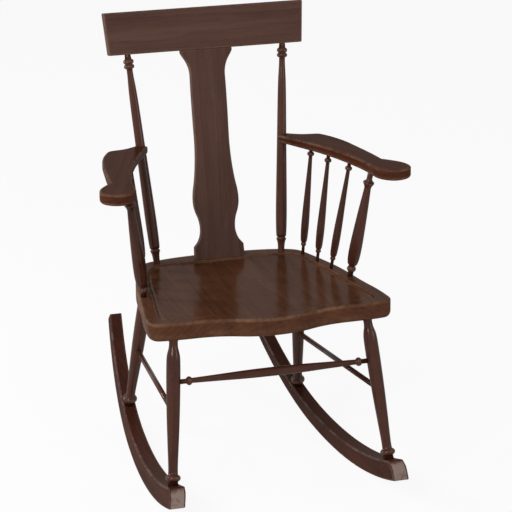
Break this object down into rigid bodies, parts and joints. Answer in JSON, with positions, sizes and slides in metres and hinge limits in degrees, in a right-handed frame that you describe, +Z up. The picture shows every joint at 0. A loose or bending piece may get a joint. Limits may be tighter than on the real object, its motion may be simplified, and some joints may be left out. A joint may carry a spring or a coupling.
{
  "type": "rocking chair",
  "caption": "Armed wooden rocking chair with a plain crest board, vase splat, turned posts and legs, saddled seat and curved rockers.",
  "frame": {"origin": "on the floor, in the middle of the chair's overall box", "axes": "+Z up, the sitter faces -Y, +X to the right of a viewer in front of the chair"},
  "size_m": [0.684, 0.8566, 0.9564],
  "materials": {
    "seat_wood": "dark walnut stain, satin varnish with wear",
    "board_wood": "dark walnut stain, satin varnish",
    "arm_wood": "dark walnut stain, semi-gloss, worn edges",
    "turned_wood": "dark mahogany stain, semi-gloss",
    "rocker_wood": "dark walnut stain, satin",
    "dowel_wood": "plain birch dowel",
    "screw_steel": "plain steel"
  },
  "bodies": {
    "root": {"seat": "seat_wood", "crest_rail": "board_wood", "back_splat": "board_wood", "back_post_left": "turned_wood", "back_post_right": "turned_wood", "arm_left": "arm_wood", "arm_right": "arm_wood", "arm_post_left": "turned_wood", "arm_post_right": "turned_wood", "arm_spindle_left_1": "turned_wood", "arm_spindle_left_2": "turned_wood", "arm_spindle_left_3": "turned_wood", "arm_spindle_right_1": "turned_wood", "arm_spindle_right_2": "turned_wood", "arm_spindle_right_3": "turned_wood", "front_leg_left": "turned_wood", "front_leg_right": "turned_wood", "rear_leg_left": "turned_wood", "rear_leg_right": "turned_wood", "front_stretcher": "turned_wood", "side_stretcher_left": "turned_wood", "side_stretcher_right": "turned_wood", "rocker_left": "rocker_wood", "rocker_right": "rocker_wood", "arm_screws": "screw_steel", "crest_pins": "dowel_wood", "rocker_pins": "dowel_wood"}
  },
  "joints": []
}
